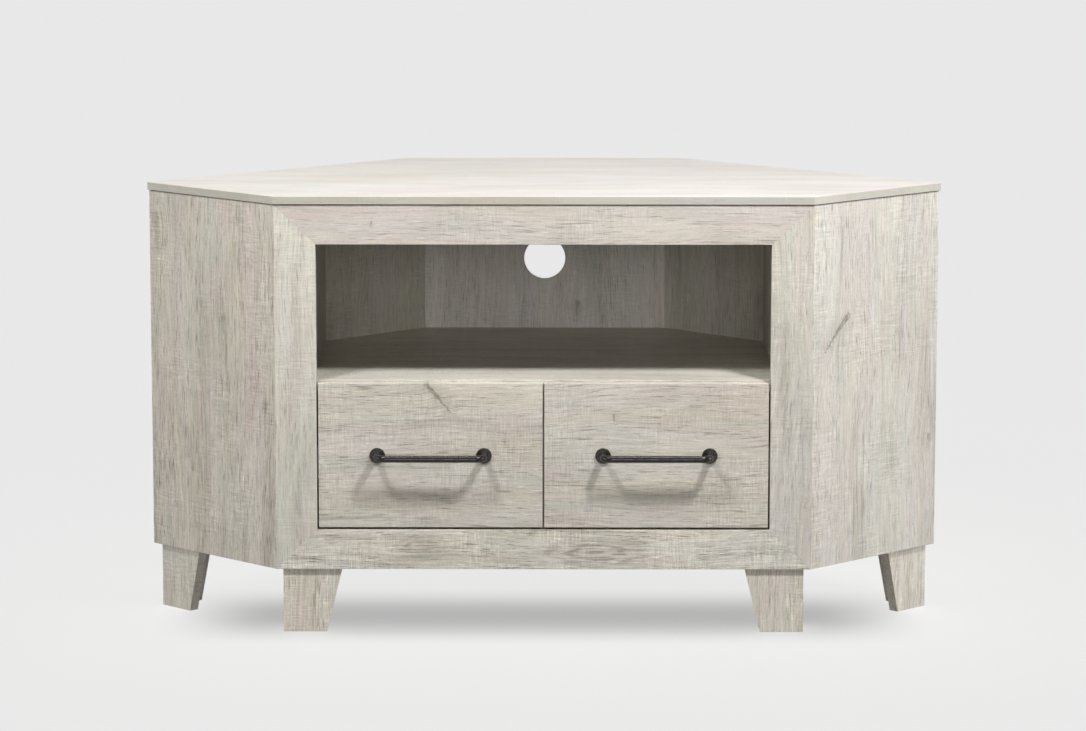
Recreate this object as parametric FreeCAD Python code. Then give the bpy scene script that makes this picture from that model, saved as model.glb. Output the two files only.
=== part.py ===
import FreeCAD, Part
import math
import os

from FreeCAD import Placement, Rotation, Vector

# Corner media cabinet, in millimetres. X runs to the right, Y runs from the front to the back
# and Z runs up. It is drawn with its front face at Y = 0 and its feet at Z = 0. Saving moves the
# origin to the middle of the footprint.

# ---- Driving dimensions ------------------------------------------------------------------------

# Plan of the body: a hexagon whose four slanted faces stand at 45 degrees.
FRONT_HALF = 402.0
SIDE_RUN = 205.0
BODY_DEPTH = 590.0

# Heights
LEG_HEIGHT = 97.0
BODY_TOP = 648.0
REVEAL = 1.0
TOP_THICKNESS = 12.0
TOP_OVERHANG = 2.0

# Boards
FRAME_THICKNESS = 18.0
SIDE_THICKNESS = 18.0
REAR_THICKNESS = 22.0
BACK_THICKNESS = 5.0
DECK_THICKNESS = 18.0
GABLE_THICKNESS = 16.0
DIVIDER_THICKNESS = 18.0

# Opening of the face frame
OPENING_HALF = 340.0
OPENING_LOW = 157.5
OPENING_HIGH = 589.0

# Inside of the case
GABLE_HALF = 350.0
SHELF_TOP = 382.5
SHELF_FRONT = 20.0
CABLE_HOLE_RADIUS = 33.5
CABLE_HOLE_HEIGHT = 497.5

# Drawers
FRONT_GAP = 2.6
FRONT_LOW_GAP = 3.6
FRONT_HIGH_GAP = 2.8
BOX_BOARD = 12.0
BOX_LOW = 176.0
BOX_HIGH = 336.0
BOX_DEPTH = 355.0
BOX_BOTTOM_THICKNESS = 5.0
BOX_BOTTOM_RAISE = 12.0
GROOVE = 6.0
GROOVE_CLEARANCE = 0.1

# Handles
HANDLE_SPACING = 160.0
BAR_RADIUS = 5.25
BAR_STANDOFF = 31.0
BAR_BEND = 13.0
ROSETTE_RADIUS = 11.75
ROSETTE_THICKNESS = 3.0
HANDLE_SCREW_RADIUS = 2.0
HANDLE_SCREW_DEPTH = 12.0
HANDLE_HEAD_RADIUS = 4.0
HANDLE_HEAD_HEIGHT = 2.4
HANDLE_HOLE_CLEARANCE = 0.25

# Drawer slides: three nested members of sheet steel on two rows of balls
SLIDE_LENGTH = 350.0
SLIDE_START = 21.0
SLIDE_DEPTH = 12.7
SHEET = 1.2
PACKER_THICKNESS = 9.0
PACKER_HEIGHT = 60.0
CABINET_MEMBER_HALF = 22.5
MIDDLE_MEMBER_HALF = 17.1
DRAWER_MEMBER_HALF = 11.7
CABINET_MEMBER_TIP = 10.5
MIDDLE_MEMBER_TIP = 10.9
DRAWER_MEMBER_TIP = 4.8
BALL_RADIUS = 1.8
BALL_PITCH = 22.0
BALLS_IN_ROW = 7
CAGE_LENGTH = 150.0
CAGE_SHEET = 0.6
CAGE_LIP = 1.0
BALL_GAP = 0.3
# (how far the lips reach from the wall, how far the balls' centres are, start along the slide)
OUTER_CAGE = (8.6, 6.0, 95.0)
INNER_CAGE = (10.0, 7.5, 105.0)

# Legs: two tapered boards mitred into an L
LEG_THICKNESS = 16.0
LEG_WIDTH_TOP = 89.0
LEG_WIDTH_FOOT = 65.0
LEG_RECESS = 5.0
FRONT_LEG_INSET = 10.0
SIDE_LEG_INSET = 14.5
BLOCK_SIZE = 40.0
BLOCK_HEIGHT = 40.0
# How far the block's screw stands from the leg's corner both ways, and how much wood holds it
BLOCK_SCREW = 28.0
BLOCK_GRIP = 12.0

# Fasteners
# (radius, head radius, length)
DRAWER_SCREW = (1.75, 3.2, 12.0)
CASE_SCREW = (1.75, 3.2, 16.0)
LARGE_SCREW = (2.0, 4.0, 25.0)
HOLE_CLEARANCE = 0.05
CAM_RADIUS = 7.4
CAM_DEPTH = 12.4
CAM_SETBACK = 24.0
CAM_BOLT_RADIUS = 3.0
CAM_BOLT_THREAD = 11.0
CAM_BOLT_REACH = 2.0
# (how far below the cam's axis it starts, length, depth)
CAM_NECK = (4.0, 3.0, 1.2)
# (length, width, depth)
CAM_SLOT = (10.0, 1.8, 2.0)
CAM_CLEARANCE = 0.1

# Rounding of the edges
TOP_EASE = 0.6
BOARD_EASE = 0.4
LEG_EASE = 0.5
RIM_EASE = 1.0

# ---- Worked out from them ----------------------------------------------------------------------

ROOT2 = math.sqrt(2.0)
WIDE_HALF = FRONT_HALF + SIDE_RUN
REAR_LINE = WIDE_HALF + SIDE_RUN
TOP_LOW = BODY_TOP + REVEAL
TOP_HIGH = TOP_LOW + TOP_THICKNESS
DECK_LOW = TOP_LOW - DECK_THICKNESS
FLOOR_TOP = LEG_HEIGHT + DECK_THICKNESS
SHELF_LOW = SHELF_TOP - DECK_THICKNESS
BACK_FACE = BODY_DEPTH - BACK_THICKNESS
DIVIDER_HALF = DIVIDER_THICKNESS / 2
SLIDE_HEIGHT = (BOX_LOW + BOX_HIGH) / 2
FRONT_INNER = FRONT_GAP / 2
FRONT_OUTER = OPENING_HALF - FRONT_GAP
FRONT_LOW = OPENING_LOW + FRONT_LOW_GAP
FRONT_HIGH = SHELF_TOP - FRONT_HIGH_GAP
HANDLE_X = (FRONT_INNER + FRONT_OUTER) / 2
HANDLE_Z = (FRONT_LOW + FRONT_HIGH) / 2
SLIDE_WALL = GABLE_HALF - PACKER_THICKNESS
BOX_INNER = DIVIDER_HALF + SLIDE_DEPTH
BOX_OUTER = SLIDE_WALL - SLIDE_DEPTH
BOX_BACK = FRAME_THICKNESS + BOX_DEPTH
FRONT_REACH = BAR_STANDOFF + BAR_RADIUS
MIDDLE_Y = (BODY_DEPTH + TOP_OVERHANG - FRONT_REACH) / 2

UP = Vector(0, 0, 1)
SIDES = (("left", -1), ("right", 1))


# ---- Helpers -----------------------------------------------------------------------------------

def save(node, *pieces):
    """Write the pieces as one node, with the origin moved to the middle of the footprint."""
    shape = pieces[0] if len(pieces) == 1 else Part.makeCompound(list(pieces))
    shape = shape.copy()
    shape.translate(Vector(0, -MIDDLE_Y, 0))
    for solid in shape.Solids:
        if not solid.isValid() or solid.Volume <= 0:
            raise ValueError("bad solid in " + node)
    shape.exportStep("parts/" + node + ".step")


def block(x_range, y_range, z_range):
    """A box given by its limits along X, Y and Z, in either order."""
    (x0, x1), (y0, y1), (z0, z1) = sorted(x_range), sorted(y_range), sorted(z_range)
    return Part.makeBox(x1 - x0, y1 - y0, z1 - z0, Vector(x0, y0, z0))


def prism(points, direction):
    """A straight-sided solid on a polygon of points."""
    return Part.Face(Part.makePolygon(points + points[:1])).extrude(direction)


def upright(plan, z_low, z_high):
    """A board that stands on a plan outline of (x, y) corners."""
    return prism([Vector(x, y, z_low) for x, y in plan], Vector(0, 0, z_high - z_low))


def seen_from_front(outline, y_near, y_far):
    """A solid whose outline, of (x, z) corners, is seen from the front."""
    return prism([Vector(x, y_near, z) for x, z in outline], Vector(0, y_far - y_near, 0))


def on_right(shape):
    """The same piece on the other side of the cabinet."""
    return shape.mirror(Vector(0, 0, 0), Vector(1, 0, 0))


def ease(shape, radius, wanted):
    """Round the straight edges whose two ends are both wanted."""
    edges = []
    for edge in shape.Edges:
        ends = [vertex.Point for vertex in edge.Vertexes]
        if len(ends) == 2 and all(wanted(end) for end in ends):
            edges.append(edge)
    return shape.makeFillet(radius, edges)


def is_near(value, target):
    return abs(value - target) < 1e-4


def front_corner(slant, y):
    """Where a right front slanted face, moved inwards by slant, crosses the line at y."""
    return (FRONT_HALF - slant * ROOT2 + y, y)


def wide_corner(slant, rear):
    """Where the right slanted faces meet, each moved inwards by its own distance."""
    difference = FRONT_HALF - slant * ROOT2
    total = REAR_LINE - rear * ROOT2
    return ((total + difference) / 2, (total - difference) / 2)


def back_corner(rear, y):
    """Where a right rear slanted face, moved inwards by rear, crosses the line at y."""
    return (REAR_LINE - rear * ROOT2 - y, y)


def both_halves(right_points):
    """Close a plan outline from the corners of its right half, front to back."""
    return right_points + [(-x, y) for x, y in reversed(right_points)]


def hexagon(front, slant, rear, back):
    """Plan outline of the body with each kind of face moved inwards by its own distance."""
    y_back = BODY_DEPTH - back
    return both_halves([front_corner(slant, front), wide_corner(slant, rear), back_corner(rear, y_back)])


def screw(size, point, direction, grow=0.0):
    """A countersunk screw whose head is flush at point and which runs along direction."""
    radius, head_radius, length = size
    head_height = head_radius - radius
    shank_low = point + direction * head_height
    shank = Part.makeCylinder(radius + grow, length - head_height + grow, shank_low, direction)
    head = Part.makeCone(head_radius + grow, radius + grow, head_height, point, direction)
    return head.fuse(shank).removeSplitter()


def drilled(shape, size, places):
    """The shape with a countersunk hole at each (point, direction)."""
    return cut_all(shape, [screw(size, point, direction, HOLE_CLEARANCE) for point, direction in places])


def cut_all(shape, tools):
    return shape.cut(Part.makeCompound(tools)) if tools else shape


# ---- Cam fittings ------------------------------------------------------------------------------

def cam_place(point, into, face):
    """Local Z runs into the board that holds the cam, and local X runs to its open face."""
    return Placement(point, Rotation(face, into.cross(face), into, "ZXY"))


def cam_lock(thickness):
    """The round cam that sits in the face of its board, with a bore for the bolt's end."""
    face = thickness / 2
    disc = Part.makeCylinder(CAM_RADIUS, CAM_DEPTH, Vector(face - CAM_DEPTH, 0, CAM_SETBACK), Vector(1, 0, 0))
    # The bore starts outside the disc and ends well past the end of the bolt.
    low = Vector(0, 0, CAM_SETBACK - CAM_RADIUS - 1)
    bore = Part.makeCylinder(CAM_BOLT_RADIUS + 2 * CAM_CLEARANCE, CAM_RADIUS + 6, low)
    length, width, depth = CAM_SLOT
    z_range = (CAM_SETBACK - length / 2, CAM_SETBACK + length / 2)
    slot = block((face - depth, face + 1), (-width / 2, width / 2), z_range)
    return disc.cut(bore).cut(slot)


def cam_bolt():
    """The bolt, threaded into the other board and reaching into the cam."""
    below, neck_length, depth = CAM_NECK
    length = CAM_BOLT_THREAD + CAM_SETBACK + CAM_BOLT_REACH
    neck_low = Vector(0, 0, CAM_SETBACK - below)
    rod = Part.makeCylinder(CAM_BOLT_RADIUS, length, Vector(0, 0, -CAM_BOLT_THREAD))
    ring = Part.makeCylinder(CAM_BOLT_RADIUS + 1, neck_length, neck_low)
    neck = Part.makeCylinder(CAM_BOLT_RADIUS - depth, neck_length, neck_low)
    return rod.cut(ring.cut(neck))


def cam_pocket(thickness):
    """What is drilled out of the cam's board."""
    face = thickness / 2
    depth = CAM_DEPTH + HOLE_CLEARANCE
    seat = Vector(face - depth, 0, CAM_SETBACK)
    pocket = Part.makeCylinder(CAM_RADIUS + CAM_CLEARANCE, depth, seat, Vector(1, 0, 0))
    tunnel = Part.makeCylinder(CAM_BOLT_RADIUS + 3 * CAM_CLEARANCE, CAM_SETBACK + CAM_BOLT_REACH + 1)
    return pocket.fuse(tunnel)


def bolt_hole():
    """What is drilled out of the other board."""
    depth = CAM_BOLT_THREAD + HOLE_CLEARANCE
    return Part.makeCylinder(CAM_BOLT_RADIUS + HOLE_CLEARANCE, depth, Vector(0, 0, -depth))


def placed(shape, placement):
    shape = shape.copy()
    shape.Placement = placement
    return shape


GABLE_CAM_YS = (70.0, 360.0)
DIVIDER_CAM_YS = (90.0, 480.0)
SHELF_CAM_YS = (80.0, 370.0)


def gable_cams(side):
    """Placements of the cams in one gable, on the face away from the drawers."""
    x = side * (GABLE_HALF + GABLE_THICKNESS / 2)
    outwards = Vector(side, 0, 0)
    low = [cam_place(Vector(x, y, FLOOR_TOP), UP, outwards) for y in GABLE_CAM_YS]
    high = [cam_place(Vector(x, y, DECK_LOW), -UP, outwards) for y in GABLE_CAM_YS]
    return low, high


def divider_cams():
    """Placements of the cams in the divider, at its foot and at its top."""
    right = Vector(1, 0, 0)
    low = [cam_place(Vector(0, y, FLOOR_TOP), UP, right) for y in DIVIDER_CAM_YS]
    high = [cam_place(Vector(0, y, SHELF_LOW), -UP, right) for y in DIVIDER_CAM_YS]
    return low, high


def shelf_cams(side):
    """Placements of the cams at one end of the shelf, on its underside."""
    z = (SHELF_LOW + SHELF_TOP) / 2
    inwards = Vector(-side, 0, 0)
    return [cam_place(Vector(side * GABLE_HALF, y, z), inwards, -UP) for y in SHELF_CAM_YS]


def all_cams():
    """Every cam's placement with the thickness of the board that it sits in."""
    found = []
    for _, side in SIDES:
        low, high = gable_cams(side)
        found += [(place, GABLE_THICKNESS) for place in low + high]
        found += [(place, DECK_THICKNESS) for place in shelf_cams(side)]
    low, high = divider_cams()
    return found + [(place, DIVIDER_THICKNESS) for place in low + high]


# ---- Top ---------------------------------------------------------------------------------------

TOP_SCREW_SPOTS = ((200.0, 70.0), (480.0, 215.0), (140.0, 500.0))


def top_screws():
    """Screws that hold the top panel to the deck, from below."""
    spots = [(x * side, y) for x, y in TOP_SCREW_SPOTS for _, side in SIDES]
    return [(Vector(x, y, DECK_LOW), UP) for x, y in spots]


def top_panel():
    out = -TOP_OVERHANG
    slab = upright(hexagon(out, out, out, out), TOP_LOW, TOP_HIGH)
    slab = ease(slab, TOP_EASE, lambda end: is_near(end.z, TOP_HIGH) or is_near(end.z, TOP_LOW))
    return drilled(slab, LARGE_SCREW, top_screws())


def upper_deck():
    plan = hexagon(FRAME_THICKNESS, SIDE_THICKNESS, REAR_THICKNESS, BACK_THICKNESS)
    deck = drilled(upright(plan, DECK_LOW, TOP_LOW), LARGE_SCREW, top_screws())
    holes = [placed(bolt_hole(), place) for _, side in SIDES for place in gable_cams(side)[1]]
    return cut_all(deck, holes)


# ---- Face frame --------------------------------------------------------------------------------

def frame_member(outline):
    """One mitred member: its outline from the front, with its ends bevelled to the slanted sides."""
    board = seen_from_front(outline, 0, FRAME_THICKNESS)
    plan = both_halves([front_corner(0, 0), front_corner(SIDE_THICKNESS, FRAME_THICKNESS)])
    member = board.common(upright(plan, LEG_HEIGHT, BODY_TOP))
    return ease(member, BOARD_EASE, lambda end: is_near(end.y, 0))


def frame_stile(side):
    return frame_member([
        (side * FRONT_HALF, LEG_HEIGHT),
        (side * FRONT_HALF, BODY_TOP),
        (side * OPENING_HALF, OPENING_HIGH),
        (side * OPENING_HALF, OPENING_LOW),
    ])


def frame_rail(outer, inner):
    """A rail between the two mitres, from the body's edge at outer to the opening at inner."""
    return frame_member([
        (-FRONT_HALF, outer),
        (FRONT_HALF, outer),
        (OPENING_HALF, inner),
        (-OPENING_HALF, inner),
    ])


# ---- Outer panels ------------------------------------------------------------------------------

def right_side_panel():
    """The slanted side that joins the face frame to the widest corner."""
    plan = [
        front_corner(0, 0),
        wide_corner(0, 0),
        wide_corner(SIDE_THICKNESS, 0),
        front_corner(SIDE_THICKNESS, FRAME_THICKNESS),
    ]
    panel = upright(plan, LEG_HEIGHT, BODY_TOP)
    return ease(panel, BOARD_EASE, lambda end: abs(end.x - end.y - FRONT_HALF) < 1e-4)


def right_rear_panel():
    """The slanted panel behind the side panel, which stands against the wall of the room."""
    plan = [
        wide_corner(SIDE_THICKNESS, 0),
        back_corner(0, BACK_FACE),
        back_corner(REAR_THICKNESS, BACK_FACE),
        wide_corner(SIDE_THICKNESS, REAR_THICKNESS),
    ]
    holes = [(point, way) for point, way in back_screws() if point.x > DIVIDER_HALF]
    return drilled(upright(plan, LEG_HEIGHT, BODY_TOP), CASE_SCREW, holes)


BACK_SCREW_ZS = (130.0, 260.0, 400.0, 600.0)
BACK_SCREW_X = 212.0


def back_screws():
    """Screws through the thin back into the rear panels and the divider."""
    spots = [(side * BACK_SCREW_X, z) for z in BACK_SCREW_ZS for _, side in SIDES]
    spots += [(0.0, z) for z in BACK_SCREW_ZS[:2]]
    return [(Vector(x, BODY_DEPTH, z), Vector(0, -1, 0)) for x, z in spots]


def centre_back_panel():
    """The thin panel across the back, with the round hole for cables."""
    half = REAR_LINE - BODY_DEPTH
    panel = block((-half, half), (BACK_FACE, BODY_DEPTH), (LEG_HEIGHT, BODY_TOP))
    centre = Vector(0, BACK_FACE - 1, CABLE_HOLE_HEIGHT)
    hole = Part.makeCylinder(CABLE_HOLE_RADIUS, BACK_THICKNESS + 2, centre, Vector(0, 1, 0))
    return drilled(panel.cut(hole), CASE_SCREW, back_screws())


# ---- Inside of the case ------------------------------------------------------------------------

def bottom_panel():
    plan = hexagon(FRAME_THICKNESS, SIDE_THICKNESS, REAR_THICKNESS, BACK_THICKNESS)
    panel = drilled(upright(plan, LEG_HEIGHT, FLOOR_TOP), LARGE_SCREW, block_screws())
    places = divider_cams()[0] + [place for _, side in SIDES for place in gable_cams(side)[0]]
    return cut_all(panel, [placed(bolt_hole(), place) for place in places])


def inside_corner(x):
    """The corner on the inner face of the right rear panel at x."""
    return (x, REAR_LINE - REAR_THICKNESS * ROOT2 - x)


def media_shelf():
    rear = back_corner(REAR_THICKNESS, BACK_FACE)
    plan = both_halves([(GABLE_HALF, SHELF_FRONT), inside_corner(GABLE_HALF), rear])
    shelf = upright(plan, SHELF_LOW, SHELF_TOP)
    pockets = [placed(cam_pocket(DECK_THICKNESS), place) for _, side in SIDES for place in shelf_cams(side)]
    bolts = [placed(bolt_hole(), place) for place in divider_cams()[1]]
    shelf = cut_all(shelf, pockets + bolts)
    return ease(shelf, BOARD_EASE, lambda end: is_near(end.y, SHELF_FRONT) and is_near(end.z, SHELF_TOP))


def gable(name, side):
    """The upright wall beside the drawers, from the bottom panel to the deck."""
    outer = GABLE_HALF + GABLE_THICKNESS
    plan = [
        (GABLE_HALF, FRAME_THICKNESS),
        (outer, FRAME_THICKNESS),
        inside_corner(outer),
        inside_corner(GABLE_HALF),
    ]
    board = upright([(side * x, y) for x, y in plan], FLOOR_TOP, DECK_LOW)
    low, high = gable_cams(side)
    tools = [placed(cam_pocket(GABLE_THICKNESS), place) for place in low + high]
    tools += [placed(bolt_hole(), place) for place in shelf_cams(side)]
    board = cut_all(board, tools)
    return drilled(board, CASE_SCREW, gable_screws(name, side))


def gable_screws(name, side):
    """The screws of one drawer's outer cabinet member, which pass through the packer."""
    return [spot for spot in cabinet_member_screws(name, side) if abs(spot[0].x) > GABLE_HALF / 2]


def slide_packer(name, side):
    """The strip that brings the outer slide inwards, so that it runs clear of the face frame."""
    z_range = (SLIDE_HEIGHT - PACKER_HEIGHT / 2, SLIDE_HEIGHT + PACKER_HEIGHT / 2)
    x_range = (side * SLIDE_WALL, side * GABLE_HALF)
    strip = block(x_range, (SLIDE_START, SLIDE_START + SLIDE_LENGTH), z_range)
    return drilled(strip, CASE_SCREW, gable_screws(name, side))


def drawer_divider():
    board = block((-DIVIDER_HALF, DIVIDER_HALF), (SHELF_FRONT, BACK_FACE), (FLOOR_TOP, SHELF_LOW))
    low, high = divider_cams()
    board = cut_all(board, [placed(cam_pocket(DIVIDER_THICKNESS), place) for place in low + high])
    holes = [spot for name, side in SIDES for spot in cabinet_member_screws(name, side)]
    holes = [spot for spot in holes if abs(spot[0].x) < GABLE_HALF / 2]
    back = [(point, way) for point, way in back_screws() if abs(point.x) < DIVIDER_HALF]
    return drilled(board, CASE_SCREW, holes + back)


# ---- Drawers, each made on the right and turned round for the left -----------------------------

def handle_spots(side):
    """Where the two posts of one handle meet the drawer front."""
    half = HANDLE_SPACING / 2
    return [Vector(side * HANDLE_X + step, 0, HANDLE_Z) for step in (-half, half)]


def box_bottom_limits(grow):
    """Limits of the drawer's bottom panel, which sits in grooves all round."""
    low = BOX_LOW + BOX_BOTTOM_RAISE
    return (
        (BOX_INNER + BOX_BOARD - GROOVE - grow, BOX_OUTER - BOX_BOARD + GROOVE + grow),
        (FRAME_THICKNESS - GROOVE - grow, BOX_BACK - BOX_BOARD + GROOVE + grow),
        (low - grow, low + BOX_BOTTOM_THICKNESS + grow),
    )


def on_side(shape, side):
    return shape if side > 0 else on_right(shape)


def drawer_front(side):
    front = block((FRONT_INNER, FRONT_OUTER), (0, FRAME_THICKNESS), (FRONT_LOW, FRONT_HIGH))
    front = ease(front, BOARD_EASE, lambda end: is_near(end.y, 0))
    front = front.cut(block(*box_bottom_limits(GROOVE_CLEARANCE)))
    front = on_side(front, side)
    radius = HANDLE_SCREW_RADIUS + HANDLE_HOLE_CLEARANCE
    depth = FRAME_THICKNESS + 2
    return cut_all(front, [
        Part.makeCylinder(radius, depth, spot - Vector(0, 1, 0), Vector(0, 1, 0))
        for spot in handle_spots(side)
    ])


def drawer_side(side, is_outer):
    """One long side of a drawer box, grooved for the bottom panel."""
    x_range = (BOX_OUTER - BOX_BOARD, BOX_OUTER) if is_outer else (BOX_INNER, BOX_INNER + BOX_BOARD)
    board = block(x_range, (FRAME_THICKNESS, BOX_BACK), (BOX_LOW, BOX_HIGH))
    board = ease(board, BOARD_EASE, lambda end: is_near(end.z, BOX_HIGH))
    board = on_side(board.cut(block(*box_bottom_limits(GROOVE_CLEARANCE))), side)
    middle = (board.BoundBox.XMin + board.BoundBox.XMax) / 2
    holes = [spot for spot in drawer_member_screws(side) if abs(spot[0].x - middle) < BOX_BOARD]
    return drilled(board, DRAWER_SCREW, holes)


def drawer_back(side):
    x_range = (BOX_INNER + BOX_BOARD, BOX_OUTER - BOX_BOARD)
    board = block(x_range, (BOX_BACK - BOX_BOARD, BOX_BACK), (BOX_LOW, BOX_HIGH))
    return on_side(board.cut(block(*box_bottom_limits(GROOVE_CLEARANCE))), side)


def drawer_bottom(side):
    return on_side(block(*box_bottom_limits(0)), side)


# ---- Handles -----------------------------------------------------------------------------------

def handle_bar(side):
    """A round bar whose two ends bend back into posts, drilled for their screws."""
    start, end = handle_spots(side)
    seat = -ROSETTE_THICKNESS
    reach = -BAR_STANDOFF
    turn = BAR_BEND * (1 - 1 / ROOT2)
    points = [
        Vector(start.x, seat, start.z),
        Vector(start.x, reach + BAR_BEND, start.z),
        Vector(start.x + turn, reach + turn, start.z),
        Vector(start.x + BAR_BEND, reach, start.z),
        Vector(end.x - BAR_BEND, reach, end.z),
        Vector(end.x - turn, reach + turn, end.z),
        Vector(end.x, reach + BAR_BEND, end.z),
        Vector(end.x, seat, end.z),
    ]
    path = Part.Wire([
        Part.LineSegment(points[0], points[1]).toShape(),
        Part.Arc(points[1], points[2], points[3]).toShape(),
        Part.LineSegment(points[3], points[4]).toShape(),
        Part.Arc(points[4], points[5], points[6]).toShape(),
        Part.LineSegment(points[6], points[7]).toShape(),
    ])
    section = Part.Wire([Part.makeCircle(BAR_RADIUS, points[0], Vector(0, 1, 0))])
    bar = path.makePipeShell([section], True, False)
    depth = HANDLE_SCREW_DEPTH
    radius = HANDLE_SCREW_RADIUS + HOLE_CLEARANCE
    holes = [
        Part.makeCylinder(radius, depth - ROSETTE_THICKNESS + 1, spot + Vector(0, seat, 0), Vector(0, -1, 0))
        for spot in (start, end)
    ]
    return cut_all(bar, holes)


def rosette(spot):
    """The round plate under one post, with a softened rim and a hole for the screw."""
    towards = Vector(0, -1, 0)
    plate = Part.makeCylinder(ROSETTE_RADIUS, ROSETTE_THICKNESS, spot, towards)
    rim = [edge for edge in plate.Edges if is_near(edge.BoundBox.YMax, -ROSETTE_THICKNESS)]
    plate = plate.makeFillet(RIM_EASE, rim)
    radius = HANDLE_SCREW_RADIUS + HANDLE_HOLE_CLEARANCE
    return plate.cut(Part.makeCylinder(radius, ROSETTE_THICKNESS, spot, towards))


def handle_screw(spot):
    """A machine screw from inside the drawer front into the post."""
    back = spot + Vector(0, FRAME_THICKNESS, 0)
    towards = Vector(0, -1, 0)
    shank = Part.makeCylinder(HANDLE_SCREW_RADIUS, FRAME_THICKNESS + HANDLE_SCREW_DEPTH, back, towards)
    head = Part.makeCylinder(HANDLE_HEAD_RADIUS, HANDLE_HEAD_HEIGHT, back, Vector(0, 1, 0))
    outer = FRAME_THICKNESS + HANDLE_HEAD_HEIGHT
    rim = [edge for edge in head.Edges if is_near(edge.BoundBox.YMin, outer)]
    head = head.makeFillet(RIM_EASE, rim)
    return head.fuse(shank).removeSplitter()


# ---- Drawer slides -----------------------------------------------------------------------------

def slide_walls(side):
    """For one drawer, the two walls that carry its slides, each with the way towards the box."""
    return [(side * SLIDE_WALL, -side), (side * DIVIDER_HALF, side)]


def channel(wall, web, tip, half, sheet, lip, y_start, length):
    """A C-section along Y. Its web stands at a distance from the wall, and its lips reach to tip."""
    wall_x, way = wall
    inner = web + sheet if tip > web else web - sheet
    outline = [
        (web, -half),
        (tip, -half),
        (tip, -half + lip),
        (inner, -half + lip),
        (inner, half - lip),
        (tip, half - lip),
        (tip, half),
        (web, half),
    ]
    corners = [(wall_x + way * reach, SLIDE_HEIGHT + z) for reach, z in outline]
    return seen_from_front(corners, y_start, y_start + length)


MIDDLE_WEB = 2 * SHEET
OUTER_CAGE_WEB = SHEET + BALL_GAP
INNER_CAGE_WEB = MIDDLE_WEB + SHEET + BALL_GAP
LIP_STEP = SHEET + BALL_GAP + BALL_RADIUS


def member(wall, web, tip, half):
    """One full-length member of a slide."""
    return channel(wall, web, tip, half, SHEET, SHEET, SLIDE_START, SLIDE_LENGTH)


def cabinet_member(wall):
    """The slide member that is screwed to the case."""
    return member(wall, 0, CABINET_MEMBER_TIP, CABINET_MEMBER_HALF)


def middle_member(wall):
    return member(wall, MIDDLE_WEB, MIDDLE_MEMBER_TIP, MIDDLE_MEMBER_HALF)


def drawer_member(wall):
    """The slide member that is screwed to the drawer box."""
    return member(wall, SLIDE_DEPTH, DRAWER_MEMBER_TIP, DRAWER_MEMBER_HALF)


def ball_cage(wall, web, outer_half, cage_size):
    """A cage with its balls, running between two members. outer_half is the outer member's."""
    wall_x, way = wall
    tip, ball_reach, start = cage_size
    row = outer_half - LIP_STEP
    y_start = SLIDE_START + start
    cage = channel(wall, web, tip, row + CAGE_LIP / 2, CAGE_SHEET, CAGE_LIP, y_start, CAGE_LENGTH)
    first = y_start + (CAGE_LENGTH - BALL_PITCH * (BALLS_IN_ROW - 1)) / 2
    balls = []
    for number in range(BALLS_IN_ROW):
        for z in (-row, row):
            centre = Vector(wall_x + way * ball_reach, first + number * BALL_PITCH, SLIDE_HEIGHT + z)
            balls.append(Part.makeSphere(BALL_RADIUS, centre))
    return cage.multiFuse(balls)


def outer_cage(wall):
    return ball_cage(wall, OUTER_CAGE_WEB, CABINET_MEMBER_HALF, OUTER_CAGE)


def inner_cage(wall):
    return ball_cage(wall, INNER_CAGE_WEB, MIDDLE_MEMBER_HALF, INNER_CAGE)


MEMBER_SCREW_YS = (14.0, 160.0, 320.0)
RIGHT_STAGGER = 12.0


def cabinet_member_screws(name, side):
    """Screws of one drawer's two cabinet members. The right drawer's are staggered, so that
    they miss the left drawer's inside the divider."""
    stagger = RIGHT_STAGGER if name == "right" else 0.0
    found = []
    for wall_x, way in slide_walls(side):
        for y in MEMBER_SCREW_YS:
            point = Vector(wall_x + way * SHEET, SLIDE_START + y + stagger, SLIDE_HEIGHT)
            found.append((point, Vector(-way, 0, 0)))
    return found


def drawer_member_screws(side):
    """Screws of one drawer's two drawer members, into the sides of the box."""
    found = []
    for wall_x, way in slide_walls(side):
        for y in MEMBER_SCREW_YS:
            point = Vector(wall_x + way * (SLIDE_DEPTH - SHEET), SLIDE_START + y, SLIDE_HEIGHT)
            found.append((point, Vector(way, 0, 0)))
    return found


# ---- Legs --------------------------------------------------------------------------------------

def leg_board():
    """The first board of a leg, along local X, mitred at the corner that lies on the origin."""
    board = seen_from_front([
        (0, 0),
        (LEG_WIDTH_FOOT, 0),
        (LEG_WIDTH_TOP, LEG_HEIGHT),
        (0, LEG_HEIGHT),
    ], 0, LEG_THICKNESS)
    wide = LEG_WIDTH_TOP + 1
    mitre = [(0, 0), (wide, 0), (wide, LEG_THICKNESS), (LEG_THICKNESS, LEG_THICKNESS)]
    board = board.common(upright(mitre, 0, LEG_HEIGHT))
    return ease(board, LEG_EASE, lambda end: end.x > LEG_THICKNESS + 1 or is_near(end.z, 0))


def other_board(board):
    """The second board of a leg, the first one's image in the mitre."""
    return board.mirror(Vector(0, 0, 0), Vector(1, -1, 0).normalize())


def corner_block():
    """The glue block in the corner of a leg, with a deep hole for its screw."""
    low = LEG_THICKNESS
    far = LEG_THICKNESS + BLOCK_SIZE
    wedge = upright([(low, low), (far, low), (low, far)], LEG_HEIGHT - BLOCK_HEIGHT, LEG_HEIGHT)
    spot = Vector(BLOCK_SCREW, BLOCK_SCREW, LEG_HEIGHT - BLOCK_HEIGHT)
    well = Part.makeCylinder(LARGE_SCREW[1] + 0.5, BLOCK_HEIGHT - BLOCK_GRIP, spot)
    return drilled(wedge.cut(well), LARGE_SCREW, [(spot + UP * (BLOCK_HEIGHT - BLOCK_GRIP), UP)])


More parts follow.
